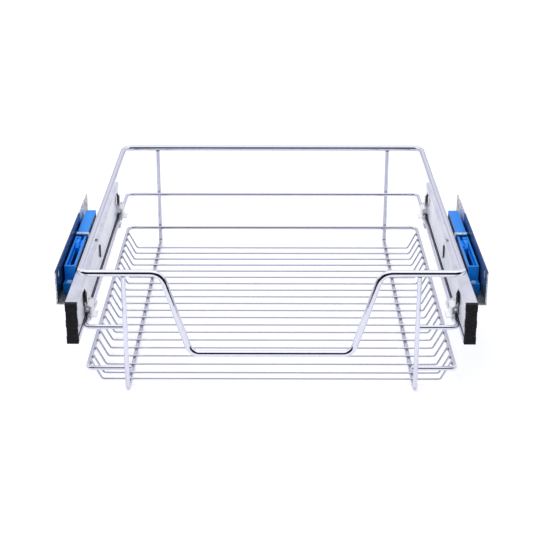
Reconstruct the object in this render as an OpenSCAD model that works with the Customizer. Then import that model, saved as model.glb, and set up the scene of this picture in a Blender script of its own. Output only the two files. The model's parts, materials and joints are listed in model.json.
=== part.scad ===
// Pull-out wire basket for a kitchen cabinet, on soft-close ball-bearing runners.
// +X is right, +Y runs back into the cabinet and +Z is up. The origin is under the
// middle of the whole assembly, on the plane that the basket's wire feet stand on.
// The runners are shown closed. Everything beside the basket is drawn for the right
// side and mirrored for the left.

/* [Basket] */
// Width of the top frame between its wire centres
basket_w = 408; // [360:1:560]
// Depth of the top frame between its wire centres
basket_d = 452; // [430:1:520]
// Overall height, from the feet to the top of the frame
basket_h = 144.5; // [140:0.5:180]
// Thickness of the top frame's wire
top_wire_d = 7.5; // [6:0.1:9]
// Bend radius at the top frame's rear corners
top_corner_r = 14; // [10:0.5:22]
// Bend radius at the top frame's front corners
top_front_r = 9; // [7:0.5:16]
// Thickness of the middle frame's wire
mid_wire_d = 5; // [4:0.1:6]
// Thickness of the lower rim's wire
rim_wire_d = 5; // [4:0.1:6]
// How far the middle and lower frames lie inside the top frame's sides
frame_in = 2; // [0:0.1:6]
// How far their front wires lie behind the front bar
front_in = 6; // [5:0.1:12]
// How far their rear wires lie in front of the rear bar
rear_in = 5; // [4:0.1:12]
// Bend radius at the rear corners of the middle frame and the lower rim
frame_corner_r = 9; // [7:0.5:14]
// Bend radius at their front corners
frame_front_r = 6; // [5:0.5:10]
// Height of the middle frame's wire centre below the top frame's
mid_drop = 65.5; // [60:0.5:75]
// Height of the lower rim's wire centre below the top frame's
rim_drop = 115; // [95:0.5:116]
// How far the lower rim's front wires reach past the struts
stub_over = 1.5; // [0:0.1:6]
// How far the middle frame's front wires stop short of the struts' far sides
stub_short = 1.2; // [0.4:0.1:2]

/* [Front dip] */
// Width of the dip at the top, between bend corners
dip_top_w = 235; // [190:1:260]
// Width of the dip at the bottom, between bend corners
dip_bottom_w = 175.6; // [120:0.1:180]
// Depth of the dip
dip_depth = 94.4; // [60:0.1:100]
// Bend radius at the top of the dip
dip_top_r = 16; // [12:0.5:28]
// Bend radius at the bottom of the dip
dip_bottom_r = 13; // [10:0.5:20]
// Width of the butt-weld beads
bead_w = 1.8; // [1:0.1:3]
// How far a bead stands out of the wire
bead_out = 0.3; // [0.1:0.05:0.6]

/* [Floor] */
// Number of wires across the floor
floor_wires = 20; // [10:1:24]
// Thickness of a floor wire
floor_wire_d = 2.5; // [2:0.1:3.5]
// First floor wire, behind the front bar
floor_first = 18; // [18:0.5:30]
// Gap between the first two floor wires
floor_front_gap = 15; // [8:0.5:20]
// Last floor wire, in front of the rear bar
floor_last = 33.6; // [24:0.1:60]
// How far in from the rim the floor turns up
floor_edge = 14; // [8:0.5:24]
// Bend radius where the floor turns up
floor_bend_r = 4; // [3:0.5:8]

/* [Struts] */
// How far each strut lies inside the top frame's side
strut_in = 46; // [34:1:64]
// Thickness of a strut's wire
strut_d = 5.2; // [4:0.1:6.5]
// Bend radius of a strut's feet
strut_bend_r = 6; // [5:0.5:12]

/* [Drawer rail] */
// Height of the rail
rail_h = 46.5; // [46:0.1:52]
// Width of the rail
rail_w = 12.6; // [12.6:0.1:14]
// Thickness of the runner's sheet steel
sheet = 1.2; // [1:0.05:1.3]
// Length of the rail without its end cap
rail_len = 398; // [392:1:420]
// How far the end cap's face stands in front of the front bar
rail_lead = 28; // [20:0.5:40]
// Height of the wire seat above the rail's bottom edge
wire_seat = 4.5; // [4.2:0.1:6]
// Height of the flat bands along the rail's edges
band_h = 8; // [7.6:0.1:9]
// How far the rail's middle is pressed back
recess = 0.8; // [0.4:0.1:1]
// Length of the lips along the rail's open side
rail_lip = 2.2; // [1:0.1:2.6]
// Distance of a ledge under the wire from its clip
ledge_off = 12; // [8:0.5:20]
// Clearance between a wire and its seat
seat_gap = 0.1; // [0.05:0.05:0.3]
// How far the basket pulls out
travel = 400; // [300:1:400]

/* [Pressed tabs and clips] */
// Length of a pressed-out tab
tab_len = 16; // [10:0.5:20]
// Height of a pressed-out tab
tab_h = 17; // [10:0.5:20]
// Angle of the front and rear tabs
tab_angle = 20; // [8:1:30]
// Angle of the middle tab
mid_tab_angle = 7; // [3:1:15]
// Front tab, behind the front bar
front_tab = 24; // [20:0.5:28]
// Middle tab, behind the front bar
mid_tab = 168; // [120:1:220]
// Rear tab, behind the front bar
rear_tab = 346; // [300:1:348]
// Length of a clip
clip_len = 22; // [16:0.5:24]
// Wall of a clip's hook
clip_wall = 1.6; // [1.2:0.1:2.2]
// Clearance round the wire inside a clip
clip_gap = 0.3; // [0.2:0.05:0.6]
// Height of a clip's pivot above the wire
pivot_up = 11; // [10:0.1:13]
// Diameter of a clip's pivot stubs
pivot_d = 3; // [2.4:0.1:3.4]
// Radial clearance of a pivot stub in its ear
pivot_gap = 0.08; // [0.03:0.01:0.1]

/* [End cap] */
// Thickness of the end cap's face
cap_t = 5; // [4:0.1:8]
// Number of bands on the cap
cap_bands = 5; // [3:1:8]
// Depth and width of the grooves between bands
cap_groove = 0.9; // [0.5:0.1:1.2]
// How far the cap's plug reaches into the rail
cap_plug = 5; // [3:0.1:6]

/* [Ball bearings] */
// Height of the ball channel between the rail and the middle member
outer_channel = 4.75; // [4.2:0.05:5]
// Height of the ball channel between the middle and cabinet members
inner_channel = 4.1; // [3.6:0.05:4.3]
// Clearance of a ball to its tracks
ball_gap = 0.3; // [0.2:0.05:0.4]
// Thickness of a ball cage
cage_t = 0.7; // [0.5:0.05:0.8]
// Clearance between the members' webs and the cages
web_gap = 0.3; // [0.25:0.05:0.35]
// Number of balls along a row
row_balls = 9; // [5:1:12]
// Spacing of the balls
ball_pitch = 16; // [10:0.5:17]
// From a cage's end to its first ball
cage_edge = 12; // [6:0.5:14]

/* [Mounting plate] */
// Distance of each plate's outer face from the rail
plate_out = 16.8; // [16:0.1:20]
// Thickness of the plate
plate_t = 1.5; // [1.2:0.1:1.8]
// Front edge of the plate, behind the front bar
plate_first = 19.5; // [12:0.5:26]
// Length of the plate
plate_len = 258; // [244:1:280]
// Height of the plate above its flange's underside
plate_h = 38.5; // [37:0.5:48]
// Height of the flange's underside above the rail's bottom edge
flange_up = 24.8; // [24:0.1:27]
// Length of the leg that turns down beside the runner
leg_h = 17; // [14:0.5:20]
// Diameter of the wall screw holes
screw_hole_d = 5; // [4:0.1:6]
// First wall screw hole, behind the plate's front edge
screw_first = 16; // [12:0.5:24]
// Spacing of the wall screw holes
screw_pitch = 224; // [180:1:226]
// Wall screw holes below the plate's top edge
screw_down = 9; // [7:0.5:12]
// Length of the printed label
label_len = 188; // [120:1:200]
// Thickness of the label
label_t = 0.2; // [0.1:0.05:0.25]

/* [Soft-close unit] */
// Height of the unit above the flange
unit_h = 26.2; // [25:0.1:28]
// Clearance between the unit and the plate's label
unit_gap = 2; // [1.4:0.1:2.6]
// Clearance between the unit and the runner
unit_in = 0.5; // [0.4:0.05:0.8]
// Front housing, behind the front bar
housing_y = 63; // [60:0.5:70]
// Length of the gap between housing and rear block
unit_slot = 10; // [9:0.5:14]
// Length of the rear block
block_len = 80; // [76:0.5:84]
// Wall of the housing and the block
shell = 1.6; // [1.2:0.1:2]
// Length of a fixing ear
ear_len = 14; // [12:0.5:16]
// Height of a fixing ear
ear_h = 9.5; // [7:0.1:11]
// How far the catch travels in the front housing
catch_travel = 60; // [50:1:61]
// Length of the catch
catch_len = 24; // [18:0.5:26]
// Height of the catch's head
head_h = 6.2; // [5:0.1:7]
// Length of the slope in front of the head
catch_ramp = 5; // [4:0.5:10]
// Share of the head's width that its tall rib takes, on the plate's side
rib_share = 0.55; // [0.4:0.05:0.7]
// Height of the head's low shelf beside the rib
shelf_h = 2; // [1.4:0.1:3]
// Clearance round the catch
catch_gap = 0.4; // [0.3:0.05:0.6]
// Diameter of the damper's cylinder
damper_d = 7; // [6:0.1:7.4]
// Diameter of the damper's rod
rod_d = 2.4; // [2:0.1:3]
// Diameter of the closing spring
spring_d = 5; // [4:0.1:5.4]
// Diameter of the fixing screws
screw_d = 3; // [2.5:0.1:3.4]
// Diameter of the rivets
rivet_d = 4; // [3:0.1:5]
// Distance of the rivets from the plate's ends
rivet_in = 20; // [14:0.5:30]
// Thickness of the finger that drives the catch
finger_t = 1.4; // [1:0.1:1.6]
// Clearance of the finger over the unit
finger_gap = 0.45; // [0.3:0.05:0.8]

/* [Hidden] */
$fn = 32;
eps = 0.01;
// A bend swells the wire a little, and a straight length starts this far inside it.
bend_grow = 0.03;
sink = 0.1;
SIDES = [["left", -1], ["right", 1]];

// Places along the depth: the front and rear bars, and the faces of the whole.
front_reach = rail_lead;
rear_reach = top_wire_d / 2 + bead_out;
front_y = -(basket_d + rear_reach - front_reach) / 2;
rear_y = front_y + basket_d;

// Heights of the wire centres.
top_z = basket_h - top_wire_d / 2;
mid_z = top_z - mid_drop;
rim_z = top_z - rim_drop;
strut_z = strut_d / 2;
floor_z = strut_d + floor_wire_d / 2;

// Wire centres across the width.
top_x = basket_w / 2;
frame_x = top_x - frame_in;
floor_x = frame_x - floor_edge;
strut_x = top_x - strut_in;

// The drawer rail lies against the middle frame.
rail_x = frame_x + mid_wire_d / 2 + seat_gap;
rail_out = rail_x + rail_w;
rail_z = mid_z - wire_seat;
rail_top = rail_z + rail_h;
cap_y = front_y - rail_lead;
rail_y = cap_y + cap_t;
rail_end = rail_y + rail_len;
axis_z = rail_z + rail_h / 2;

// The nested members of the runner, from the rail outwards.
rail_inner = rail_h / 2 - sheet;
outer_ball_d = outer_channel - 2 * ball_gap;
mid_half = rail_inner - outer_channel;
inner_ball_d = inner_channel - 2 * ball_gap;
cab_half = mid_half - sheet - inner_channel;
cage1_x = rail_x + recess + sheet + web_gap;
member_x = cage1_x + cage_t + web_gap;
cage2_x = member_x + sheet + web_gap;
leg_x = rail_out + unit_in;
cab_web = leg_x - sheet;
cab_lip = cage2_x + cage_t + 0.5;
member_open = rail_out - sheet - 1;
outer_ball_x = cage1_x + cage_t + 0.5 + web_gap + outer_ball_d / 2 + 0.6;
inner_ball_x = cage2_x + cage_t + 1 + inner_ball_d / 2;
outer_ball_z = rail_inner - outer_channel / 2;
inner_ball_z = cab_half + inner_channel / 2;
member_y = rail_y + 8;
member_end = rail_end - 13;
cabinet_y = front_y + 4;
cabinet_end = rail_end - 5;
buffer_y = member_end + 1;
cage_len = (row_balls - 1) * ball_pitch + 2 * cage_edge;
// A cage falls back by a quarter of the travel as the basket comes out.
cage1_y = member_y + travel / 4;
cage2_y = cabinet_y + travel / 4 + 1;

// The mounting plate is a Z: a leg, a flange and the tall outer plate.
plate_x = rail_out + plate_out;
plate_y = front_y + plate_first;
flange_z = rail_z + flange_up;
deck_z = flange_z + plate_t;
plate_top = flange_z + plate_h;
screw_z = plate_top - screw_down;

// The soft-close unit stands on the flange.
unit_x = leg_x + unit_in;
unit_w = plate_x - plate_t - label_t - unit_gap - unit_x;
unit_mid = unit_x + unit_w / 2;
unit_top = deck_z + unit_h;
house_y = front_y + housing_y;
slot_y = house_y + 3;
catch_y = slot_y + 5 + catch_travel;
house_end = catch_y + catch_len + 2;
block_y = house_end + unit_slot;
block_end = block_y + block_len;
plate_end = max(plate_y + plate_len, block_end + ear_len - 3);
head_w = unit_w - 3 * shell;
stem_w = head_w - 1.8;
head_z = unit_top - head_h;
head_top = unit_top - 0.15;
rod_z = deck_z + shell + damper_d / 2 + 0.6;
damper_y = block_y + shell + 3;
damper_end = block_end - shell;
tail_z = rod_z + damper_d / 2 + spring_d / 2 + 1;
tail_h = 2.4;
tail_end = block_y + shell + 6;
spring_end = block_end - shell;
finger_y = house_end + 2;
finger_w = unit_slot - 4;
finger_z = unit_top + finger_gap;
finger_rivet_x = rail_out - 5.6;

// Clips hang over the wire from ears on the rail.
pivot_z = mid_z + pivot_up;
ear_t = sheet;
front_clip = front_y + front_tab + 6;
rear_clip = min(front_y + rear_tab + 3, rail_end - clip_len - ear_t - 0.8);
tab_z = rail_top - band_h - 1.5 - tab_h;
// How far a tab's root reaches into the web.
tab_root = 0.4;

function unit(v) = v / norm(v);
function turn(a, b, c) = acos(max(-1, min(1, unit(b - a) * unit(c - b))));
function setback(a, b, c, r) = r * tan(turn(a, b, c) / 2);

// A wire along the points, bent at each inner one to the radius given for it. Each length
// is drawn in the frame that the bend before it ends in, and its ends sink into the bends.
module bent_wire(points, radii, d) {
    u = unit(points[1] - points[0]);
    x = unit(cross(abs(u[2]) < 0.9 ? [0, 0, 1] : [1, 0, 0], u));
    y = cross(u, x);
    at = points[0];
    multmatrix([
        [x[0], y[0], u[0], at[0]],
        [x[1], y[1], u[1], at[1]],
        [x[2], y[2], u[2], at[2]],
        [0, 0, 0, 1]
    ]) wire_length(points, radii, d, 0, x);
}

// Length i and what follows it. Here +Z runs along the wire, and x is this frame's own X.
module wire_length(points, radii, d, i, x) {
    a = points[i];
    b = points[i + 1];
    u = unit(b - a);
    bends = i < len(points) - 2;
    before = i > 0 ? setback(points[i - 1], a, b, radii[i]) : 0;
    after = bends ? setback(a, b, points[i + 2], radii[i + 1]) : 0;
    h = norm(b - a) - before - after;
    from = i > 0 ? sink : 0;
    translate([0, 0, -from]) cylinder(h = h + from + (bends ? sink : 0), d = d);
    if (bends) {
        w = unit(points[i + 2] - b);
        n = unit(w - (w * u) * u);
        angle = turn(a, b, points[i + 2]);
        r = radii[i + 1];
        translate([0, 0, h]) rotate([0, 0, atan2(n * cross(u, x), n * x)]) translate([r, 0, 0]) {
            rotate([90, 0, 180]) rotate_extrude(angle = angle)
                translate([r, 0]) circle(d = d + bend_grow);
            rotate([0, angle, 0]) translate([-r, 0, 0])
                wire_length(points, radii, d, i + 1, n * cos(angle) - u * sin(angle));
        }
    }
}

// A box between two corners.
module block(x0, x1, y0, y1, z0, z1) {
    translate([x0, y0, z0]) cube([x1 - x0, y1 - y0, z1 - z0]);
}

// An outline drawn in X and Z, drawn out along Y.
module along_y(y0, y1) {
    translate([0, y1, 0]) rotate([90, 0, 0]) linear_extrude(y1 - y0) children();
}

module cylinder_y(x, z, y0, y1, d) {
    translate([x, y0, z]) rotate([-90, 0, 0]) cylinder(h = y1 - y0, d = d);
}

module cylinder_x(y, z, x0, x1, d) {
    translate([x0, y, z]) rotate([0, 90, 0]) cylinder(h = x1 - x0, d = d);
}

module on_side(s) {
    mirror([s < 0 ? 1 : 0, 0, 0]) children();
}

// ---- the wire basket ----

// Each half runs from the weld in the rear bar round to the weld in the dip's bar.
module top_frame() {
    top = dip_top_w / 2;
    low = dip_bottom_w / 2;
    dip_z = top_z - dip_depth;
    color("#e9eaf2") {
        for (side = SIDES) on_side(side[1]) bent_wire(
            [[0, rear_y, top_z], [top_x, rear_y, top_z], [top_x, front_y, top_z],
             [top, front_y, top_z], [low, front_y, dip_z], [0, front_y, dip_z]],
            [0, top_corner_r, top_front_r, dip_top_r, dip_bottom_r, 0], top_wire_d);
        for (at = [[rear_y, top_z], [front_y, dip_z]])
            cylinder_x(at[0], at[1], -bead_w / 2, bead_w / 2, top_wire_d + 2 * bead_out);
    }
}

// A frame round both sides and the rear, with short wires in front to the struts.
module open_frame(z, d, over) {
    y0 = front_y + front_in;
    y1 = rear_y - rear_in;
    stub = strut_x - strut_d / 2 - over;
    bent_wire(
        [[-stub, y0, z], [-frame_x, y0, z], [-frame_x, y1, z],
         [frame_x, y1, z], [frame_x, y0, z], [stub, y0, z]],
        [0, frame_front_r, frame_corner_r, frame_corner_r, frame_front_r, 0], d);
}

module middle_frame() {
    color("#e4e5ee") open_frame(mid_z, mid_wire_d, -stub_short);
}

module lower_rim() {
    color("#e4e5ee") open_frame(rim_z, rim_wire_d, stub_over);
}

// Depth of floor wire i.
function floor_y(i) = i == 0
    ? front_y + floor_first
    : front_y + floor_first + floor_front_gap
        + (i - 1) * (basket_d - floor_last - floor_first - floor_front_gap) / (floor_wires - 2);

// The slope that makes a floor wire's end touch the inside of the rim.
edge_run = frame_x - floor_x;
edge_rise = rim_z - floor_z;
edge_angle = atan2(edge_rise, edge_run)
    + asin((rim_wire_d + floor_wire_d) / 2 / norm([edge_run, edge_rise]));
tip_up = rim_z + rim_wire_d / 2 - floor_z;
tip_x = floor_x + tip_up / tan(edge_angle);

module floor_wire(y) {
    bent_wire(
        [[-tip_x, y, floor_z + tip_up], [-floor_x, y, floor_z],
         [floor_x, y, floor_z], [tip_x, y, floor_z + tip_up]],
        [0, floor_bend_r, floor_bend_r, 0], floor_wire_d);
}

module floor_wires() {
    color("#dcdde6") for (i = [0:floor_wires - 1]) floor_wire(floor_y(i));
}

// A strut runs down in front of the frames, under the floor and up behind them.
module strut(s) {
    y0 = front_y + front_in - (max(mid_wire_d, rim_wire_d) + strut_d) / 2;
    y1 = rear_y - rear_in + (max(mid_wire_d, rim_wire_d) + strut_d) / 2;
    z1 = top_z - top_wire_d / 2;
    x = s * strut_x;
    color("#e4e5ee") bent_wire(
        [[x, y0, z1], [x, y0, strut_z], [x, y1, strut_z], [x, y1, z1]],
        [0, strut_bend_r, strut_bend_r, 0], strut_d);
}

// ---- the drawer rail and what it carries ----

function rail_outline(w, h, t, lip) = [
    [0, 0], [0, band_h], [recess, band_h + 1.5], [recess, h - band_h - 1.5], [0, h - band_h],
    [0, h], [w, h], [w, h - lip], [w - t, h - lip], [w - t, h - t],
    [t, h - t], [t, h - band_h], [recess + t, h - band_h - 1.5],
    [recess + t, band_h + 1.5], [t, band_h],
    [t, t], [w - t, t], [w - t, lip], [w, lip], [w, 0]
];

module window(y) {
    block(rail_x - 1, rail_x + recess + sheet + eps, y, y + tab_len, tab_z, tab_z + tab_h);
}

// A tab pressed out of its window, still joined at the window's rear edge.
module pressed_tab(y, angle) {
    long = tab_len - 0.8 + tab_root;
    translate([rail_x + recess, y + tab_len + tab_root, tab_z + 0.4])
        rotate([0, 0, -angle])
        translate([0, -long, 0])
        cube([sheet, long, tab_h - 0.8]);
}

// An ear that holds one end of a clip's pivot.
module clip_ear(y) {
    difference() {
        union() {
            cylinder_y(frame_x, pivot_z, y, y + ear_t, pivot_d + 4);
            block(frame_x, rail_x + recess + sheet / 2, y, y + ear_t,
                pivot_z - pivot_d / 2 - 2, pivot_z + pivot_d / 2 + 2);
        }
        cylinder_y(frame_x, pivot_z, y - 1, y + ear_t + 1, pivot_d + 2 * pivot_gap);
    }
}

module clip_ears(y) {
    clip_ear(y - 0.3 - ear_t);
    clip_ear(y + clip_len + 0.3);
}

// A ledge pressed out under the middle frame's wire.
module wire_ledge(y) {
    top = mid_z - mid_wire_d / 2 - seat_gap;
    lip_x = frame_x - mid_wire_d / 2 - 0.3 - sheet;
    block(lip_x, rail_x + sheet / 2, y, y + tab_len, top - sheet, top);
    block(lip_x, lip_x + sheet, y, y + tab_len, top - sheet, mid_z - 0.5);
}

module drawer_rail() {
    finger_mid = finger_y + finger_w / 2;
    color("#d7dae4") difference() {
        union() {
            difference() {
                translate([rail_x, 0, rail_z]) along_y(rail_y, rail_end)
                    polygon(rail_outline(rail_w, rail_h, sheet, rail_lip));
                for (y = [front_tab, mid_tab, rear_tab]) window(front_y + y);
            }
            pressed_tab(front_y + front_tab, tab_angle);
            pressed_tab(front_y + mid_tab, mid_tab_angle);
            pressed_tab(front_y + rear_tab, tab_angle);
            clip_ears(front_clip);
            clip_ears(rear_clip);
            wire_ledge(front_clip + clip_len + ledge_off);
            wire_ledge(rear_clip - ledge_off - tab_len);
        }
        finger_rivet_holes(finger_mid);
    }
}

// Seen from the front, the cap is a column of bands with a groove between each two.
module end_cap() {
    band = rail_h / cap_bands;
    color("#1c1a20") {
        for (i = [0:cap_bands - 1]) {
            step = i % 2 == 0 ? 0 : 0.4;
            block(rail_x + step, rail_out - step, cap_y, rail_y,
                rail_z + i * band + (i == 0 ? 0 : cap_groove / 2),
                rail_z + (i + 1) * band - (i == cap_bands - 1 ? 0 : cap_groove / 2));
        }
        block(rail_x + 0.4, rail_out - 0.4, cap_y + cap_groove, rail_y, rail_z, rail_top);
        block(rail_x + recess + sheet + 0.2, rail_out - sheet - 0.2, rail_y - eps,
            rail_y + cap_plug, rail_z + sheet + 0.2, rail_top - sheet - 0.2);
    }
}

// The hook wraps the inner half of the wire, so it swings clear about its pivot.
module clip(y) {
    r0 = mid_wire_d / 2 + clip_gap;
    r1 = r0 + clip_wall;
    color("#f3f4f0") {
        difference() {
            cylinder_y(frame_x, mid_z, y, y + clip_len, 2 * r1);
            cylinder_y(frame_x, mid_z, y - 1, y + clip_len + 1, 2 * r0);
            block(frame_x, frame_x + r1 + 1, y - 1, y + clip_len + 1, mid_z - r1 - 1, mid_z + r1 + 1);
        }
        block(frame_x - r1, frame_x - r0, y, y + clip_len, mid_z, pivot_z);
        block(frame_x - r1, frame_x, y, y + clip_len, pivot_z - 1.8, pivot_z + 1.8);
        block(frame_x - r1 - 4.5, frame_x - r0 - clip_wall / 2, y + 3, y + clip_len - 3,
            mid_z - 1, mid_z + 0.6);
        cylinder_y(frame_x, pivot_z, y, y + clip_len, 4.6);
        cylinder_y(frame_x, pivot_z, y - 0.3 - ear_t, y + clip_len + 0.3 + ear_t, pivot_d);
    }
}

// ---- the runner's inner members ----

// A channel from x0 to x1 with its web at x0, or at x1 when flipped.
module channel(x0, x1, y0, y1, half, t, flipped = false) {
    block(flipped ? x1 - t : x0, flipped ? x1 : x0 + t, y0, y1, axis_z - half, axis_z + half);
    block(x0, x1, y0, y1, axis_z - half, axis_z - half + t);
    block(x0, x1, y0, y1, axis_z + half - t, axis_z + half);
}

module middle_member() {
    lip = 1.4;
    color("#c9ccd6") {
        channel(member_x, member_open, member_y, member_end, mid_half, sheet);
        for (s = [-1, 1]) {
            z = axis_z + s * (mid_half + lip / 2);
            block(member_open - 0.8, member_open, member_y, member_end, z - lip / 2, z + lip / 2);
        }
    }
}

function rivet_places() = [plate_y + rivet_in, plate_end - rivet_in];
rivet_z = axis_z - 3;

module cabinet_member() {
    color("#c9ccd6") difference() {
        channel(cab_lip, leg_x, cabinet_y, cabinet_end, cab_half, sheet, flipped = true);
        for (y = rivet_places())
            cylinder_x(y, rivet_z, cab_web - 1, leg_x + 1, rivet_d + 0.1);
    }
}

module slide_rivets() {
    color("#b9bcc4") for (y = rivet_places()) {
        cylinder_x(y, rivet_z, cab_web - eps, leg_x + plate_t + eps, rivet_d);
        cylinder_x(y, rivet_z, cab_web - 0.8, cab_web, rivet_d + 3);
        cylinder_x(y, rivet_z, leg_x + plate_t, leg_x + plate_t + 0.8, rivet_d + 3);
    }
}

// Ball places along a cage, shared by the cage's holes and the balls.
function ball_y(cage_y, i) = cage_y + cage_edge + i * ball_pitch;

module ball_cage(x, y, reach, at_x, at_z, d) {
    half = at_z + cage_t / 2;
    color("#b4b7bf") difference() {
        channel(x, x + reach, y, y + cage_len, half, cage_t);
        for (i = [0:row_balls - 1])
            translate([at_x, ball_y(y, i), axis_z - half - 1])
                cylinder(h = 2 * half + 2, d = d + 0.4);
    }
}

module balls(y, at_x, at_z, d) {
    color("#e6e7ea") for (i = [0:row_balls - 1], s = [-1, 1])
        translate([at_x, ball_y(y, i), axis_z + s * at_z]) sphere(d = d);
}

module outer_ball_cage() {
    ball_cage(cage1_x, cage1_y, 6.9, outer_ball_x, outer_ball_z, outer_ball_d);
}

module outer_balls() {
    balls(cage1_y, outer_ball_x, outer_ball_z, outer_ball_d);
}

module inner_ball_cage() {
    ball_cage(cage2_x, cage2_y, 5.6, inner_ball_x, inner_ball_z, inner_ball_d);
}

module inner_balls() {
    balls(cage2_y, inner_ball_x, inner_ball_z, inner_ball_d);
}

// The buffer stops the middle member when the basket closes.
module stop_buffer() {
    color("#2a2a2e") block(member_x + 0.3, cab_web, buffer_y, cabinet_end, axis_z - 9, axis_z + 9);
}

// ---- the mounting plate ----

module mounting_plate() {
    y0 = plate_y;
    y1 = plate_end;
    color("#b9bdc6") difference() {
        union() {
            block(plate_x - plate_t, plate_x, y0, y1, flange_z, plate_top);
            block(leg_x, plate_x, y0, y1, flange_z, deck_z);
            block(leg_x, leg_x + plate_t, y0, y1, deck_z - leg_h, deck_z);
        }
        for (y = [screw_first, screw_first + screw_pitch])
            cylinder_x(y0 + y, screw_z, plate_x - plate_t - 1, plate_x + 1, screw_hole_d);
        for (y = rivet_places())
            cylinder_x(y, rivet_z, leg_x - 1, leg_x + plate_t + 1, rivet_d + 0.1);
        for (y = unit_screw_places())
            translate([unit_mid, y, flange_z - 1]) cylinder(h = plate_t + 2, d = screw_d + 0.1);
    }
}

module plate_label() {
    x = plate_x - plate_t - label_t;
    color("#1d4c9c") difference() {
        block(x, x + label_t, plate_y + 1, plate_y + label_len, deck_z + 0.5, plate_top - 0.5);
        cylinder_x(plate_y + screw_first, screw_z, x - 1, x + 1, screw_hole_d + 4);
    }
}

// ---- the soft-close unit ----

function unit_screw_places() = [house_y - ear_len / 2, block_end + ear_len / 2];

module fixing_ear(y0, y1, screw_y) {
    difference() {
        block(unit_x, unit_x + unit_w, y0, y1, deck_z, deck_z + ear_h);
        translate([unit_mid, screw_y, deck_z - 1]) cylinder(h = ear_h + 2, d = screw_d + 0.4);
    }
}

// An open trough that guides the catch, with a fixing ear and a stop lip in front.
module catch_housing() {
    slot_w = head_w + 2 * catch_gap;
    deep_w = stem_w + 2 * catch_gap;
    color("#0a62e8") {
        difference() {
            block(unit_x, unit_x + unit_w, house_y, house_end, deck_z, unit_top);
            block(unit_mid - slot_w / 2, unit_mid + slot_w / 2, slot_y, house_end + 1,
                head_z - catch_gap, unit_top + 1);
            block(unit_mid - deep_w / 2, unit_mid + deep_w / 2, slot_y, house_end + 1,
                deck_z + shell, unit_top);
        }
        fixing_ear(house_y - ear_len, house_y + eps, unit_screw_places()[0]);
        block(unit_x, unit_x + unit_w, house_y - ear_len, house_y - ear_len + shell,
            deck_z + ear_h - eps, deck_z + ear_h + 1.4);
    }
}

// A closed cover over the damper and its spring, with a tab that steadies it on the plate.
module damper_block() {
    color("#1b7cf4") {
        difference() {
            block(unit_x, unit_x + unit_w, block_y, block_end, deck_z, unit_top);
            block(unit_x + shell, unit_x + unit_w - shell, block_y + shell, block_end - shell,
                deck_z - 1, unit_top - shell);
            cylinder_y(unit_mid, rod_z, block_y - 1, block_y + shell + 1, rod_d + 0.6);
            block(unit_mid - 1.4, unit_mid + 1.4, block_y - 1, block_y + shell + 1,
                tail_z - tail_h / 2 - 0.3, tail_z + tail_h / 2 + 0.3);
        }
        fixing_ear(block_end - eps, block_end + ear_len, unit_screw_places()[1]);
        block(unit_x + unit_w - eps, unit_x + unit_w + unit_gap - 0.3, block_y, block_y + 5,
            unit_top - 3, unit_top);
    }
}

module unit_screws() {
    color("#c8c8cc") for (y = unit_screw_places()) translate([unit_mid, y, 0]) {
        translate([0, 0, flange_z - 1]) cylinder(h = ear_h + plate_t + 1 + eps, d = screw_d);
        difference() {
            translate([0, 0, deck_z + ear_h]) cylinder(h = 1.6, d1 = screw_d + 3, d2 = screw_d + 2);
            for (a = [0, 90]) rotate(a)
                translate([-1.6, -0.4, deck_z + ear_h + 0.8]) cube([3.2, 0.8, 2]);
        }
    }
}

// The catch slides in the housing; its tail reaches back to the spring.
module catch() {
    rib_w = head_w * rib_share;
    color("#2f97ff") {
        difference() {
            translate([unit_mid + head_w / 2 - rib_w, 0, 0]) rotate([90, 0, 90]) linear_extrude(rib_w)
                polygon([[catch_y, head_z], [catch_y + catch_len, head_z],
                    [catch_y + catch_len, head_top], [catch_y + catch_ramp, head_top],
                    [catch_y, head_z + 1]]);
            block(unit_mid - head_w, unit_mid + head_w, catch_y + catch_len - 8,
                catch_y + catch_len - 5, unit_top - 2.6, unit_top + 1);
        }
        block(unit_mid - head_w / 2, unit_mid + head_w / 2 - rib_w + eps, catch_y + catch_ramp,
            catch_y + catch_len, head_z, head_z + shelf_h);
        block(unit_mid - stem_w / 2, unit_mid + stem_w / 2, catch_y, catch_y + catch_len,
            rod_z - rod_d / 2 - 1, head_z + eps);
        block(unit_mid - 1.1, unit_mid + 1.1, catch_y + catch_len - eps, tail_end,
            tail_z - tail_h / 2, tail_z + tail_h / 2);
    }
}

module damper_rod() {
    color("#d4d6da") cylinder_y(unit_mid, rod_z, catch_y + catch_len, damper_end - 6, rod_d);
}

module damper_cylinder() {
    bore = rod_d + 0.16;
    color("#8d9096") difference() {
        cylinder_y(unit_mid, rod_z, damper_y, damper_end, damper_d);
        cylinder_y(unit_mid, rod_z, damper_y - 1, damper_end - 2, bore);
    }
}

module closing_spring() {
    color("#9a9da3") difference() {
        cylinder_y(unit_mid, tail_z, tail_end + 0.1, spring_end, spring_d);
        cylinder_y(unit_mid, tail_z, tail_end - 1, spring_end - 1, spring_d - 1.4);
    }
}

// ---- the finger on the rail that drives the catch ----

module finger_rivet_holes(y) {
    translate([finger_rivet_x, y, rail_top - sheet - 1])
        cylinder(h = sheet + finger_t + 2, d = rivet_d - 1 + 0.1);
}

module catch_finger() {
    mid = finger_y + finger_w / 2;
    rise_x = rail_out - finger_t;
    color("#dfe0e4") difference() {
        union() {
            block(rail_x + 1, rail_out, finger_y, finger_y + finger_w, rail_top, rail_top + finger_t);
            block(rise_x, rail_out, finger_y, finger_y + finger_w, rail_top, finger_z + finger_t);
            block(rise_x, unit_x + unit_w - 0.6, finger_y, finger_y + finger_w,
                finger_z, finger_z + finger_t);
        }
        finger_rivet_holes(mid);
    }
}

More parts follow.
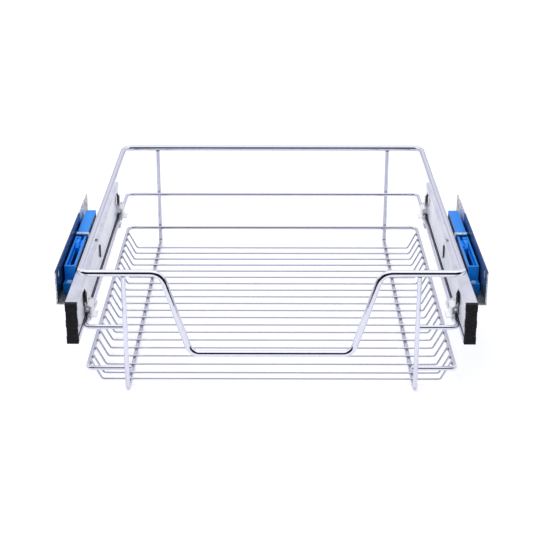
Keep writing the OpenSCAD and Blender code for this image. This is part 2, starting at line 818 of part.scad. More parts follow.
module finger_rivets() {
    d = rivet_d - 1;
    y = finger_y + finger_w / 2;
    color("#b9bcc4") translate([finger_rivet_x, y, 0]) {
        translate([0, 0, rail_top - sheet]) cylinder(h = sheet + finger_t + eps, d = d);
        translate([0, 0, rail_top + finger_t]) cylinder(h = 0.8, d1 = d + 2, d2 = d + 1);
    }
}

top_frame();
middle_frame();
lower_rim();
floor_wires();
for (side = SIDES) {
    name = side[0];
    s = side[1];
    strut(s);
    on_side(s) {
        drawer_rail();
        end_cap();
        clip(front_clip);
        clip(rear_clip);
        middle_member();
        cabinet_member();
        outer_ball_cage();
        outer_balls();
        inner_ball_cage();
        inner_balls();
        stop_buffer();
        slide_rivets();
        mounting_plate();
        plate_label();
        catch_housing();
        damper_block();
        unit_screws();
        damper_cylinder();
        damper_rod();
        closing_spring();
        catch();
        catch_finger();
        finger_rivets();
    }
}
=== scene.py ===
# %% [markdown]
# # A pull-out wire basket for a kitchen cabinet
# This lesson dresses a finished CAD model: a chromed wire basket that rolls out of a cabinet on
# two ball-bearing runners, each with a soft-close unit. The CAD gives every piece its shape and
# place. Blender adds what the eye needs: the finish of each metal and plastic, the weld spots, the
# light and the camera.

# %% Load the CAD model
import json
import math
import random

import bmesh
import bpy
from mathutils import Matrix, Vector


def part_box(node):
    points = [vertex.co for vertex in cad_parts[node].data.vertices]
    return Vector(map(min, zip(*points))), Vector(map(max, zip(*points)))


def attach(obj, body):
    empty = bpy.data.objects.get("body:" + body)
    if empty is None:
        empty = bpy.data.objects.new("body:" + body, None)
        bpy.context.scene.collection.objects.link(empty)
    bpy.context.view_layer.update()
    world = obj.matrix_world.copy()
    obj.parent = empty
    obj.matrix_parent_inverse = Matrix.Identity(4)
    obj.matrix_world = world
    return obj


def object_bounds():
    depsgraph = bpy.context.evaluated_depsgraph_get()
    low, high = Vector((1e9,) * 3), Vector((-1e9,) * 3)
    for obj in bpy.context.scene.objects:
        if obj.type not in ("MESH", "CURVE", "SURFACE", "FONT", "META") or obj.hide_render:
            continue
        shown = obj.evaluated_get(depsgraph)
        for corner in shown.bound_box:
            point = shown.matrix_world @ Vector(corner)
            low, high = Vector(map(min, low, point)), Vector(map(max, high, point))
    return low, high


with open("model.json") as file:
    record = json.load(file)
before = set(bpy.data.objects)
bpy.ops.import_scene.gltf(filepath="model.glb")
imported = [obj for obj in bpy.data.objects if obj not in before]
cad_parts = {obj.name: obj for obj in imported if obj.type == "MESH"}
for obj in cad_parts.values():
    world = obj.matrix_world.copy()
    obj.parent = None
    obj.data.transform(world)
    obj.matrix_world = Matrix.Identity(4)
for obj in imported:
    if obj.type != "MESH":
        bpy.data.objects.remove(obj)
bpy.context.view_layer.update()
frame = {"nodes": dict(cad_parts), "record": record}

# %% [markdown]
# ## The camera
# The photograph looks down on the basket from a little over a metre and a half away, through a
# fairly long lens. Its place was solved from the corners of the wires, so the lens, the place and
# the three angles are plain numbers here. Blender's camera looks down its own -Z, so a camera
# that looks along +Y and level has its X rotation at 90 degrees.

# %% Camera
IMAGE_SIDE = 540
FOCAL_PIXELS = 1330.13
SENSOR_MM = 36.0
CAMERA_PLACE = (0.004516, -1.519756, 0.679738)
PITCH_DOWN, YAW_LEFT, ROLL = 22.2858, 0.2543, 0.0106

lens = bpy.data.cameras.new("studio_camera")
lens.sensor_width = SENSOR_MM
lens.lens = FOCAL_PIXELS / IMAGE_SIDE * SENSOR_MM
lens.clip_start, lens.clip_end = 0.05, 50
camera = bpy.data.objects.new("studio_camera", lens)
camera.location = CAMERA_PLACE
camera.rotation_euler = [math.radians(a) for a in (90 - PITCH_DOWN, ROLL, YAW_LEFT)]
bpy.context.scene.collection.objects.link(camera)
bpy.context.scene.camera = camera
print("lens", round(lens.lens, 1), "mm")

# %% [markdown]
# ## Shader maths as plain Python
# A node tree is a small program. Written node by node it is long and hard to read, so one class
# wraps a node's output and lets Python's own + - * build the Math nodes. Its reflected forms make
# `1 - mask` work too. A mask is a level that runs from 0 to 1 over the surface. Most masks here
# are soft steps or bands, laid out in millimetres past a known edge of the CAD. A second class
# holds a whole tree and makes every node through one method: its type, then its settings, then
# what its sockets hold.

# %% A level in a shader
class Level:
    """A node's output, which builds Math nodes when it is used in an expression."""

    def __init__(self, sheet, socket):
        self.sheet, self.socket = sheet, socket

    def maths(self, operation, *values):
        """A Math node on the values given."""
        made = self.sheet.node("Math", {"operation": operation}, dict(enumerate(values)))
        return made["Value"]

    def __add__(self, other):
        return self.maths("ADD", self, other)

    def __sub__(self, other):
        return self.maths("SUBTRACT", self, other)

    def __rsub__(self, other):
        return self.maths("SUBTRACT", other, self)

    def __mul__(self, other):
        return self.maths("MULTIPLY", self, other)

    __radd__, __rmul__ = __add__, __mul__

    def __abs__(self):
        return self.maths("ABSOLUTE", self)

    def most(self, other):
        """The higher of two levels."""
        return self.maths("MAXIMUM", self, other)

    def step(self, start, end):
        """0 up to start and 1 from end on, with a soft rise between."""
        return self.sheet.node("MapRange", {"interpolation_type": "SMOOTHSTEP"},
                               {"Value": self, "From Min": start, "From Max": end})["Result"]

    def band(self, rise, fall):
        """A step up over the range rise, and down again over the range fall."""
        return self.step(*rise) * (1 - self.step(*fall))

    def mm_past(self, place):
        """How many millimetres this level in metres is past a place in metres."""
        return (self - place) * 1000


print("a level can be used with + - * abs, and has steps and bands")


# %% A sheet of nodes
class Sheet:
    """A node tree, with one method that makes any node in it."""

    COLOUR_A, COLOUR_B = 6, 7    # a Mix node's two colours share their names with its numbers

    def __init__(self, tree):
        self.tree = tree

    def node(self, kind, settings=None, sockets=None):
        """Makes a node, and returns its outputs by name."""
        made = self.tree.nodes.new("ShaderNode" + kind)
        for name, value in (settings or {}).items():
            setattr(made, name, value)
        for name, value in (sockets or {}).items():
            self.fill(made.inputs[name], value)
        return {output.name: Level(self, output) for output in made.outputs if output.enabled}

    def fill(self, socket, value):
        """Links a Level to a socket, or writes a plain value on it."""
        if isinstance(value, Level):
            self.tree.links.new(value.socket, socket)
        elif socket.type == "RGBA":
            socket.default_value = (*value, 1)
        else:
            socket.default_value = value

    def mix(self, share, first, second):
        """The first colour where share is 0 and the second where it is 1."""
        return self.node("Mix", {"data_type": "RGBA"}, {
            "Factor": share, self.COLOUR_A: first, self.COLOUR_B: second})["Result"]

    def split(self, vector):
        """The x, y and z of a vector."""
        return self.node("SeparateXYZ", {}, {"Vector": vector}).values()


print("a sheet makes, fills, mixes and splits nodes")

# %% [markdown]
# ## Colours as they look on a screen
# Photographs and screens store colours on a curve, but a shader works with light itself. One
# function turns a screen colour, 0 to 255, into the amount of light that it stands for.

# %% Screen colours
def screen(red, green, blue):
    """A screen colour as amounts of light."""
    def light(v):
        v /= 255
        return v / 12.92 if v <= 0.04045 else ((v + 0.055) / 1.055) ** 2.4
    return tuple(light(v) for v in (red, green, blue))


print("mid grey on a screen is", [round(v, 3) for v in screen(128, 128, 128)], "of light")

# %% [markdown]
# ## A finish
# Every finish starts from the Principled shader. Whatever is the same all over is written on its
# own sockets. Whatever changes over the surface, such as a stain or a scratch, is built from
# textures that are laid out in the object's own metres, so they stay in place when it moves.
# Every finish is kept under its name, to be handed out to the pieces later.

# %% Finish
FINISHES = {}


class Finish(Sheet):
    """A material on one Principled shader, with textures placed in metres."""

    def __init__(self, name, **constants):
        self.material = bpy.data.materials.new(name)
        self.material.use_nodes = True
        super().__init__(self.material.node_tree)
        self.shader = self.tree.nodes["Principled BSDF"]
        self.set(**constants)
        self.metres = self.node("TexCoord")["Object"]
        FINISHES[name] = self

    def set(self, **sockets):
        """set(Base_Color=..., Roughness=...) fills the shader's sockets."""
        for name, value in sockets.items():
            self.fill(self.shader.inputs[name.replace("_", " ")], value)

    def stretched(self, x, y, z):
        """The place on the surface, with each direction scaled."""
        return self.node("Mapping", {}, {"Vector": self.metres, "Scale": (x, y, z)})["Vector"]

    def noise(self, scale, detail, place=None):
        """Soft random clouds, 0 to 1, with about scale of them in a metre."""
        return self.node("TexNoise", {}, {
            "Vector": place or self.metres, "Scale": scale, "Detail": detail})["Fac"]

    def rounded(self, radius):
        """The normal as it would be with the edges rounded to a radius."""
        return self.node("Bevel", {"samples": 4}, {"Radius": radius})["Normal"]

    def edge(self, radius):
        """1 on sharp outer edges and 0 on flat faces."""
        match = self.node("VectorMath", {"operation": "DOT_PRODUCT"}, {
            0: self.rounded(radius), 1: self.node("NewGeometry")["Normal"]})["Value"]
        return (1 - match).step(0.005, 0.12)

    def relief(self, height, strength, depth, radius=None):
        """A Bump of the height given, on top of edges rounded to the radius."""
        sockets = {"Height": height, "Strength": strength, "Distance": depth}
        if radius:
            sockets["Normal"] = self.rounded(radius)
        self.set(Normal=self.node("Bump", {}, sockets)["Normal"])


print("finishes are built on", Finish.__name__)

# %% [markdown]
# ## Chrome on drawn wire
# Bright chrome is almost a mirror, so its look is mostly what stands around it. What gives away
# real wire is that the mirror isn't quite even: drawing and bending leave slow waves along it, and
# the plating leaves a slight milky breath in places. A faint bump and a little change in roughness
# do both. A perfect mirror would look like glass. The floor's wires and those at the rear look a
# shade greyer than the rest, from a part of the studio that only they mirror. A grey tone there,
# placed by depth and height, is simpler than building that part.

# %% Chrome wire
MIRROR, MILKY = 0.05, 0.07    # the lowest roughness, and how far it rises

chrome = Finish("chrome_wire", Metallic=1.0)
strut_low, strut_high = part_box("right_strut")
rim_low, rim_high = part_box("lower_rim")
waves, breath = chrome.noise(90, 2), chrome.noise(420, 4)
_, along, tall = chrome.split(chrome.metres)
floor_wire = (along.mm_past(strut_low.y).step(12, 22)
              * (1 - tall.mm_past(rim_low.z).step(5, 7)))
rear_wire = along.mm_past(strut_high.y).step(-9, -6.5)
bright = chrome.mix(breath, screen(222, 224, 237), screen(244, 245, 252))
bright = chrome.mix(0.22 * rear_wire, bright, screen(120, 132, 160))
chrome.set(
    Base_Color=chrome.mix(0.2 * floor_wire, bright, screen(150, 150, 160)),
    Roughness=MIRROR + MILKY * breath)
chrome.relief(waves, 0.12, 0.0006)
print("chrome roughness", MIRROR, "to", round(MIRROR + MILKY, 2))

# %% [markdown]
# ## Satin zinc on rolled sheet
# The rails are rolled from bright-zinc strip. It reflects softly, with fine lines along the rail
# where the rolls ran, and small cloudy patches. The lines are noise that is squeezed hard along Y:
# one texture then serves for roughness and bump, so they agree. The rail's top is painted a touch
# darker than its upright web, as painted shade.

# %% Clean rail steel
ROLLING_LINES = 900           # in a metre across the strip

zinc = Finish("galvanised_steel", Metallic=1.0)
rolled = zinc.noise(1, 3, zinc.stretched(ROLLING_LINES, 6, ROLLING_LINES))
clouds = zinc.noise(28, 4)
cloudy = clouds.step(0.3, 0.7)
across, along, tall = zinc.split(zinc.metres)
mm_below_top = (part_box("left_drawer_rail")[1].z - tall) * 1000
# painted shade: the rail's top is given a darker zinc than its web
shaded_rail_top = zinc.mix(cloudy, screen(226, 229, 236), screen(245, 246, 251))
rail_web = zinc.mix(cloudy, screen(242, 244, 250), screen(254, 254, 255))
clean = zinc.mix(mm_below_top.step(2, 4), shaded_rail_top, rail_web)
print("rolling lines:", ROLLING_LINES, "in a metre")

# %% [markdown]
# ## Painted shade and bare steel on the rails
# A dark line of painted shadow runs along the rail, level with the middle frame's wire, in the
# gap that the wire leaves in shade, and a patch of painted shade lies beside the front clip. Below
# the wire the rail is painted a little greyer, as the wire's shade. The free end of the middle
# tab was cut after the strip was zinc-plated, so it shows bare steel, painted darker as the shade
# at the tab's end.
# Painting such marks would take a picture. Here each is a mask of bands, laid out from the wire,
# the clip, the tab's end and the rail's top.

# %% Marks on the rails
BAR_RADIUS = 0.00375          # half the thickness of the top frame's wire
CLIP_BACK = 0.024             # from the front bar's middle back to the painted shade by the clip
TAB_BACK = 0.168              # and back to the middle tab's free end
# the three shares set how dark the painted shadow line, the painted shade by the clip and the
# painted shade below the wire are
GAP_SHADE, SHADE_BY_CLIP, SHADE_BELOW_WIRE = 0.97, 0.85, 0.12    # how far each mark hides the clean steel

front_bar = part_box("top_frame")[0].y + BAR_RADIUS
mm_past_wire = tall.mm_past(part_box("middle_frame")[1].z)
# painted shadow: a dark line in the shaded gap along the middle frame's wire
gap_shadow = mm_past_wire.band((-1.2, -0.2), (1.3, 2.3))
# painted shade: the rail a little greyer below the wire
below_wire = 1 - mm_past_wire.step(-0.8, 0)
outer_side = abs(across).mm_past(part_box("right_end_cap")[0].x).step(0.3, 0.6)
# painted shade: a dark patch on the web beside the front clip
clip_shade = (along.mm_past(front_bar + CLIP_BACK).band((0, 3), (8, 15))
         * mm_below_top.band((25, 26), (34, 38)) * (0.5 + 0.5 * outer_side))
# bare cut steel at the tab's free end, painted darker as its shade too
cut_edge_and_shade = (along.mm_past(front_bar + TAB_BACK).band((0.2, 0.5), (1.3, 1.7))
            * mm_below_top.band((9.3, 9.8), (26.2, 26.7)))
cut_steel_and_shade = zinc.mix(zinc.noise(500, 2), screen(60, 64, 60), screen(112, 116, 110))
cut_and_shaded = zinc.mix(SHADE_BELOW_WIRE * below_wire, zinc.mix(cut_edge_and_shade, clean, cut_steel_and_shade),
                  screen(190, 190, 202))
zinc.set(
    Base_Color=zinc.mix(GAP_SHADE * gap_shadow + SHADE_BY_CLIP * clip_shade, cut_and_shaded, screen(12, 12, 14)),
    Roughness=0.3 + 0.12 * rolled + 0.08 * clouds + 0.5 * gap_shadow + 0.4 * clip_shade)
zinc.relief(rolled, 0.12, 0.0002, radius=0.0005)
print("the middle tab ends", round((front_bar + TAB_BACK) * 1000, 1), "mm along Y")

# %% [markdown]
# ## Spangled zinc on the mounting plates
# The bare end of each plate shows a fine sparkle, where small zinc crystals lie at different
# angles. A Voronoi texture gives each crystal its own random colour. Its red channel alone says
# how light and how rough that crystal is. The fingers on the rails are bent from the same sheet.
# Low down the plate is painted dark, as painted shade and a painted dark reflection, and the film
# on its front wraps a little way over the top edge, so a mask takes the metal away there.

# %% Plate steel
CRYSTALS = 520                # in a metre

plate = Finish("plate_steel")
crystal = plate.node("TexVoronoi", {}, {"Vector": plate.metres, "Scale": CRYSTALS})["Color"]
tone = plate.node("SeparateColor", {}, {"Color": crystal})["Red"]
dust = plate.noise(60, 4)
plate_low, plate_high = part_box("left_mounting_plate")
label_low, label_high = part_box("left_plate_label")
_, along, tall = plate.split(plate.metres)
# painted shade and a painted dark reflection low on the plate
low_shade = 1 - tall.mm_past(plate_low.z).step(16, 21)
wrapped = (tall.mm_past(plate_high.z).step(-0.9, -0.7)
           * (1 - along.mm_past(label_high.y).step(0, 0.4)))
spangled = plate.mix(tone, screen(168, 169, 172), screen(255, 255, 255))
shaded_bare = plate.mix(0.55 * low_shade, spangled, screen(28, 40, 50))
plate.set(
    Base_Color=plate.mix(wrapped, shaded_bare, screen(20, 48, 104)),
    Metallic=1 - wrapped,
    Roughness=0.26 + 0.22 * tone + 0.1 * dust)
plate.relief(tone, 0.2, 0.0002, radius=0.0003)
print("crystals of about", round(1000 / CRYSTALS, 1), "mm")

# %% [markdown]
# ## Small steel parts
# Cages, balls, rivets, springs and weld beads are steel too, but each has its own surface: pressed
# and dull, ground and bright, turned, oiled, or scorched. Their marks are alike and differ in
# size and tone, so one function makes them all, from a dark and a light tone, the roughness, and
# how fine the marks are. The rivets and screws are only partly metallic, which keeps them pale
# where the room that they would mirror is dark.

# %% Small steel
def small_steel(name, dark, light, roughness, marks, metal=1.0):
    """Steel whose tone and roughness drift between two values."""
    made = Finish(name, Metallic=metal)
    stain = made.noise(marks, 5)
    fine = made.noise(marks * 6, 2)
    made.set(
        Base_Color=made.mix(stain.step(0.25, 0.75), dark, light),
        Roughness=roughness + 0.12 * stain + 0.05 * fine)
    made.relief(fine, 0.15, 0.0001, radius=0.0003)


small_steel("cage_steel", screen(150, 152, 158), screen(196, 198, 204), 0.3, 160)
small_steel("ball_steel", screen(214, 215, 220), screen(236, 237, 240), 0.06, 300)
small_steel("rivet_steel", screen(232, 226, 214), screen(255, 252, 246), 0.4, 400, metal=0.35)
small_steel("spring_steel", screen(96, 98, 104), screen(150, 152, 158), 0.3, 500)
small_steel("weld_steel", screen(112, 112, 124), screen(206, 206, 216), 0.2, 900)
print("steels:", [name for name in FINISHES if name.endswith("steel")])

# %% [markdown]
# ## The shaded trough
# The front housing of each soft-close unit is an open trough. Deep down in it hardly any light
# arrives, so its floor and its side by the runner are painted near-black blue as painted shade.
# The two housings are mirror images, so one mask on the distance from the middle serves both.

# %% Trough mask
HOUSING_WALL = 0.0019
FRONT_BLOCK = 0.017           # from the housing's front back to the start of the trough
SOFT_EDGE = 0.0002


def trough_shade(made):
    """1 where shade is painted: deep down in the housings' troughs and on their sides by the
    runner, else 0.
    """
    low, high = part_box("right_catch_housing")
    x, y, z = made.split(made.metres)
    across, mm_past_top = abs(x), z.mm_past(high.z)
    inner, outer, front = low.x + HOUSING_WALL, high.x - HOUSING_WALL, low.y + FRONT_BLOCK
    hollow_shade = (across.band((inner - SOFT_EDGE, inner), (outer, outer + SOFT_EDGE))
              * y.band((front - SOFT_EDGE, front), (high.y, high.y + SOFT_EDGE))
              * (1 - mm_past_top.step(-15, -5)))
    beside = (1 - across.mm_past(low.x).step(0.2, 0.5)) * (1 - mm_past_top.step(-3, -1))
    return hollow_shade + beside


print("the trough's walls are", HOUSING_WALL * 1000, "mm thick")

# %% [markdown]
# ## Moulded plastic
# The soft-close units are moulded in a strong clear blue. A mould leaves a fine even grain, and
# light catches on the slightly rounded edges, which are paler in patches, partly from wear and
# partly as a painted highlight. The edge mask compares the real normal with one that is rounded
# over: where the two differ, there is an edge.
# The catch is a lighter blue and the damper is grey, but the moulding is the same.

# %% Moulded plastic
def moulded(name, deep, bright, roughness, hollow_shade=None):
    """Moulded plastic: fine grain, slow drift of tone, paler edges for wear and a painted
    highlight, and painted shade in hollows.
    """
    made = Finish(name, IOR=1.48, Specular_IOR_Level=0.3)
    pits = made.noise(1400, 2)
    drift = made.noise(24, 3)
    # paler edges in patches: partly wear, partly a painted highlight
    worn_and_lit_edge = made.edge(0.0005) * made.noise(300, 3).step(0.35, 0.6)
    body = made.mix(drift.step(0.3, 0.7), deep, bright)
    if hollow_shade:
        # painted shade: near-black blue deep in the trough and on its side by the runner
        body = made.mix(0.93 * hollow_shade(made), body, screen(1, 7, 28))
    pale = tuple(0.75 * c + 0.25 for c in bright)
    made.set(
        Base_Color=made.mix(0.5 * worn_and_lit_edge, body, pale),
        Roughness=roughness + 0.1 * pits)
    made.relief(pits, 0.12, 0.0001, radius=0.0004)


moulded("blue_plastic", screen(0, 138, 250), screen(4, 151, 252), 0.36, hollow_shade=trough_shade)
moulded("light_blue_plastic", screen(8, 142, 255), screen(30, 160, 255), 0.36)
moulded("damper_grey", screen(126, 128, 132), screen(146, 148, 152), 0.42)
print("plastics:", [name for name in FINISHES if "plastic" in name or "grey" in name])

# %% [markdown]
# ## The film on the plates
# The front of each plate carries a glossy dark blue film. Its blue is painted from lighter at the
# top edge to nearly black lower down, as painted light and shade, with a painted pale reflection
# near the front of the right one. A film that is stuck on by hand is never quite flat, so a slow
# bump bends the reflections a little. A thin clear coat gives it its gloss, and a height gradient
# and one mask do the rest.

# %% Film
film = Finish("blue_label", IOR=1.5, Specular_IOR_Level=0.3, Coat_Roughness=0.08)
across, along, tall = film.split(film.metres)
mottle = film.noise(700, 3)
# painted light and shade: the film's blue grows lighter towards its top edge
blue = film.mix(tall.step(label_low.z, label_high.z), screen(3, 8, 20), screen(18, 44, 98))
on_right = across.step(0, 0.01)
# painted reflection: a pale patch near the front of the right film
painted_reflection = on_right * (1 - along.mm_past(label_low.y).step(10, 70))
blue = film.mix(0.32 * painted_reflection, blue, screen(112, 128, 156))
film.set(
    Base_Color=film.mix(0.05 * mottle, blue, screen(90, 120, 160)),
    Roughness=0.24 + 0.1 * mottle,
    Coat_Weight=0.05 + 0.15 * film.noise(40, 2))
film.relief(film.noise(35, 2), 0.15, 0.0004)
print("film from", round(label_low.z * 1000, 1), "to", round(label_high.z * 1000, 1), "mm up")

# %% [markdown]
# ## White clips
# The clips are milky plastic that lets some light in, so a little subsurface scattering softens
# their shading. It is kept low, because their walls are thin. Faint clouds keep the white from
# looking like paper.

# %% White clips
SCATTERED = 0.1

clip_white = Finish("white_clip", Subsurface_Weight=SCATTERED, Subsurface_Scale=0.001,
                    Subsurface_Radius=(1.0, 1.0, 1.0), IOR=1.48)
milk = clip_white.noise(120, 4)
clip_white.set(
    Base_Color=clip_white.mix(milk.step(0.3, 0.7), screen(246, 248, 254), screen(255, 255, 255)),
    Roughness=0.3 + 0.15 * milk)
clip_white.relief(clip_white.noise(900, 2), 0.1, 0.0001, radius=0.0005)
print("clips scatter a share of", SCATTERED, "of the light inside them")

# %% [markdown]
# ## Black rubber caps
# The end caps are soft black rubber: nearly no colour, a dull even surface, and a fine dust that
# greys it in places. A painted highlight greys the edges of its bands. The edge mask of the
# plastics finds those edges here too.

# %% Black rubber
rubber = Finish("black_rubber", Specular_IOR_Level=0.25)
powder = rubber.noise(260, 5)
# painted highlight along the edges of the bands, and dust in patches
dust_and_edge_highlight = 0.6 * rubber.edge(0.0006) + 0.12 * powder.step(0.45, 0.75)
rubber.set(
    Base_Color=rubber.mix(dust_and_edge_highlight, screen(14, 13, 17), screen(92, 90, 100)),
    Roughness=0.55 + 0.2 * powder)
rubber.relief(rubber.noise(1600, 3), 0.25, 0.00012, radius=0.0005)
print("rubber ready;", len(FINISHES), "finishes in all")

# %% [markdown]
# ## Each node gets its finish
# The record says which material slot every CAD node has, and the finishes carry the same names,
# so the record does the assigning.

# %% Dress the nodes
for part in frame["record"]["subparts"]:
    mesh = frame["nodes"][part["node"]].data
    mesh.materials.clear()
    mesh.materials.append(FINISHES[part["material_slot"]].material)

# %% [markdown]
# ## Floor
# The floor is a wide white sheet. It is lit like everything else, so it keeps the shadows. A
# little light of its own lifts it to white for the camera. Metal sees only a fifth of that light,
# so the undersides of the wires stay a little darker than the floor. The sheet ends like a
# table's edge in front of the basket, so the wires can mirror the room below it.

# %% Floor
FLOOR_GLOW = 0.35
MIRRORED_GLOW = 0.2           # the share of the glow that metal sees
TABLE_EDGE, REACH = -0.66, 8.0


def white_floor():
    """A wide sheet that shows shadows and is white elsewhere."""
    mesh = bpy.data.meshes.new("studio_floor")
    corners = [(-REACH, TABLE_EDGE, 0), (REACH, TABLE_EDGE, 0), (REACH, REACH, 0),
               (-REACH, REACH, 0)]
    mesh.from_pydata(corners, [], [(0, 1, 2, 3)])
    floor = bpy.data.objects.new("studio_floor", mesh)
    floor.location.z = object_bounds()[0].z - 0.0002
    bpy.context.scene.collection.objects.link(floor)
    paint = Finish("studio_floor", Roughness=0.7, Specular_IOR_Level=0.1)
    paint.set(Base_Color=paint.mix(
        paint.noise(6, 2), screen(240, 240, 246), screen(244, 244, 249)))
    ray = paint.node("LightPath")
    shown = ray["Is Camera Ray"] + MIRRORED_GLOW * ray["Is Glossy Ray"]
    matt = Level(paint, paint.shader.outputs["BSDF"])
    glow = paint.node("Emission", {}, {"Color": (1, 1, 1), "Strength": FLOOR_GLOW})["Emission"]
    glowing = paint.node("AddShader", {}, {0: matt, 1: glow})["Shader"]
    surface = paint.node("MixShader", {}, {0: shown, 1: matt, 2: glowing})["Shader"]
    paint.fill(paint.tree.nodes["Material Output"].inputs["Surface"], surface)
    mesh.materials.append(paint.material)


white_floor()
print("floor glow", FLOOR_GLOW, "to the camera,", round(FLOOR_GLOW * MIRRORED_GLOW, 3), "to metal")

# %% [markdown]
# ## The room around it
# The camera sees plain white around the basket. What chrome sees is another matter, since a
# mirror in an all-white room looks like plaster. In front there is a dark room, as behind a real
# camera: it draws the fine dark line along each wire. At the sides stand grey walls, and two
# narrow grey flags further back, which give the wires that run back their edges. A world can't
# hold objects, so each of these is a mask on the direction: east, north and up run from -1 to 1.

# %% Places in the room
ROOM_TOP = (0.7, 0.84)

world = bpy.data.worlds.new("studio_world")
bpy.context.scene.world = world
world.use_nodes = True
air = Sheet(world.node_tree)
east, north, up = air.split(air.node("TexCoord")["Generated"])
aside = abs(east)
in_front = (0 - north).step(0.1, 0.4)
dark_room = in_front * (1 - up.step(*ROOM_TOP))
eye_level = up.band((-0.2, 0.0), (0.3, 0.45))
side_flag = aside.band((0.2, 0.26), (0.33, 0.4)) * north.step(0.6, 0.8) * eye_level
side_wall = aside.step(0.8, 0.92) * eye_level
print("the dark room fades out between",
      [round(math.degrees(math.asin(v))) for v in ROOM_TOP], "degrees up")

# %% [markdown]
# ## Its colours
# Three kinds of ray get three answers. The camera gets white. Reflections get the room with its
# dark places. All the rest, which lights matt surfaces from every side, gets a soft fill light.
# Lamps could do the same with many more objects, and would show up in the wires.

# %% Colours of the room
rear_wall = air.mix(north.step(0.5, 0.9), (1.0, 1.0, 1.0), (0.8, 0.8, 0.9))
room = air.mix(up.step(0.6, 0.9), rear_wall, (1.2, 1.2, 1.22))
room = air.mix(0.3 * side_flag, room, (0.16, 0.16, 0.18))
room = air.mix(0.8 * side_wall, room, (0.3, 0.3, 0.33))
room = air.mix(dark_room, room, (0.012, 0.011, 0.015))
fill_light = air.mix(up.step(-0.2, 0.9), (0.55, 0.56, 0.6), (0.72, 0.73, 0.76))
ray = air.node("LightPath")
mirrored = ray["Is Glossy Ray"].most(ray["Is Transmission Ray"])
unseen = air.mix(mirrored, fill_light, room)
sky = air.mix(ray["Is Camera Ray"], unseen, (1.0, 1.0, 1.0))
air.fill(world.node_tree.nodes["Background"].inputs["Color"], sky)
print("the world is made of", len(world.node_tree.nodes), "nodes")

# %% [markdown]
# ## Lamps
# A large soft lamp hangs above, as in a product studio. A second one from the front left opens the
# sides that face the camera. An area lamp's light falls with the square of its distance, so
# its power is worked out from the brightness wanted on a white sheet at its aim. The lamps stay
# out of reflections, where they would be hard white squares along the wires.

# %% Lamps
def soft_lamp(name, place, aim, side, level):
    """A square lamp that lights a white sheet at its aim to the level given."""
    data = bpy.data.lights.new(name, "AREA")
    data.shape, data.size = "SQUARE", side
    away = Vector(place) - Vector(aim)
    data.energy = level * math.pi ** 2 * away.length_squared
    lamp = bpy.data.objects.new(name, data)
    lamp.visible_glossy = False
    lamp.location = place
    lamp.rotation_euler = away.to_track_quat("Z", "Y").to_euler()
    bpy.context.scene.collection.objects.link(lamp)
    print(name, round(data.energy, 1), "W")


BASKET_MIDDLE = (0, 0, 0.1)
soft_lamp("top_lamp", (-0.2, 0.1, 1.7), BASKET_MIDDLE, 1.1, 0.34)
soft_lamp("front_lamp", (-0.9, -1.6, 1.3), BASKET_MIDDLE, 0.8, 0.14)

# %% [markdown]
# ## Weld spots
# Each place where two wires cross is spot-welded, and a small bead of metal is left in the
# corner between them. From afar it only softens the crossing, but without it the wires seem to
# lie on each other. A bump can't add metal, so one mesh holds a row of beads, each a squashed
# ball with its own slight wobble.

# %% Weld beads
BEAD_WOBBLE = 0.08


def bead_mesh(name, places):
    """Squashed, slightly uneven balls, each at a point and with its three radii."""
    dice = random.Random(7)
    metal = bmesh.new()
    for point, radii in places:
        made = bmesh.ops.create_icosphere(metal, subdivisions=2, radius=1.0)
        for v in made["verts"]:
            wobble = 1 + BEAD_WOBBLE * (dice.random() - 0.5)
            v.co = Vector(point) + Vector(c * r * wobble for c, r in zip(v.co, radii))
    for face in metal.faces:
        face.smooth = True
    mesh = bpy.data.meshes.new(name)
    metal.to_mesh(mesh)
    metal.free()
    return mesh


def add_welds(name, places):
    """Beads that ride on the basket."""
    welds = bpy.data.objects.new(name, bead_mesh(name, places))
    bpy.context.scene.collection.objects.link(welds)
    welds.data.materials.append(FINISHES["weld_steel"].material)
    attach(welds, "basket")
    print(name, len(places))


print("a bead's surface wobbles by", 50 * BEAD_WOBBLE, "percent either way")

# %% [markdown]
# ## Where the wires cross
# The floor wires' places aren't in their box, which holds all of them. Their lowest points are
# in the CAD mesh, though: every different Y among them that is well apart from the last is a new
# wire.

# %% Rows of floor wires
SAME_HEIGHT, ROW_GAP = 0.00004, 0.004


def middle(low, high):
    return (low + high) / 2


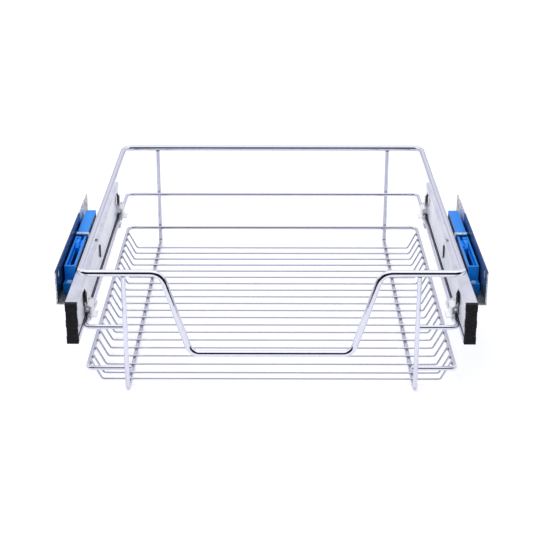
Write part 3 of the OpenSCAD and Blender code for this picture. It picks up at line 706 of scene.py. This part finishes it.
STRUT_X = middle(strut_low.x, strut_high.x)
STRUT_D = strut_high.x - strut_low.x
floor_low, floor_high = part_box("floor_wires")
lowest = sorted({round(v.co.y, 4) for v in frame["nodes"]["floor_wires"].data.vertices
                 if abs(v.co.z - floor_low.z) < SAME_HEIGHT})
wire_rows = []
for y in lowest:
    if not wire_rows or y - wire_rows[-1] > ROW_GAP:
        wire_rows.append(y)
print(len(wire_rows), "floor wires, the first at", wire_rows[0])

# %% [markdown]
# ## Beads on the floor wires
# Every floor wire is welded to both struts below it, and its turned-up tips to the lower rim. Each
# bead's middle is lifted a tenth of a millimetre from where the wires touch, so that it fills the
# corner between them.

# %% Weld the floor
LIFT = 0.0001
TIP_INSET = 0.0012            # from the floor wires' outermost point to a tip's middle
STRUT_BEAD, TIP_BEAD = (0.0021, 0.0017, 0.0008), (0.0010, 0.0017, 0.0014)

tip_x = floor_high.x - TIP_INSET
spots = []
for y in wire_rows:
    for side in (-1, 1):
        spots.append(((side * STRUT_X, y, STRUT_D + LIFT), STRUT_BEAD))
        spots.append(((side * (tip_x + LIFT), y, middle(rim_low.z, rim_high.z)), TIP_BEAD))
add_welds("floor_weld_beads", spots)

# %% [markdown]
# ## Beads on the frames
# The struts carry the frames: the middle frame and the lower rim are welded to their sides, front
# and rear, and the top frame to their ends.

# %% Weld the frames to the struts
FRAME_BEAD, TOP_BEAD = (0.0027, 0.0012, 0.0027), (0.0034, 0.0031, 0.0012)

spots = []
for side in (-1, 1):
    for frame_name in ("middle_frame", "lower_rim"):
        low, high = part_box(frame_name)
        for y in (low.y, high.y):
            spots.append(((side * STRUT_X, y, middle(low.z, high.z)), FRAME_BEAD))
    for y in (strut_low.y + STRUT_D / 2, strut_high.y - STRUT_D / 2):
        spots.append(((side * STRUT_X, y, strut_high.z - LIFT), TOP_BEAD))
add_welds("frame_weld_beads", spots)

# %% [markdown]
# ## Last settings
# Standard view keeps colours as they are written.

# %% Last settings
bpy.context.scene.view_settings.view_transform = "Standard"
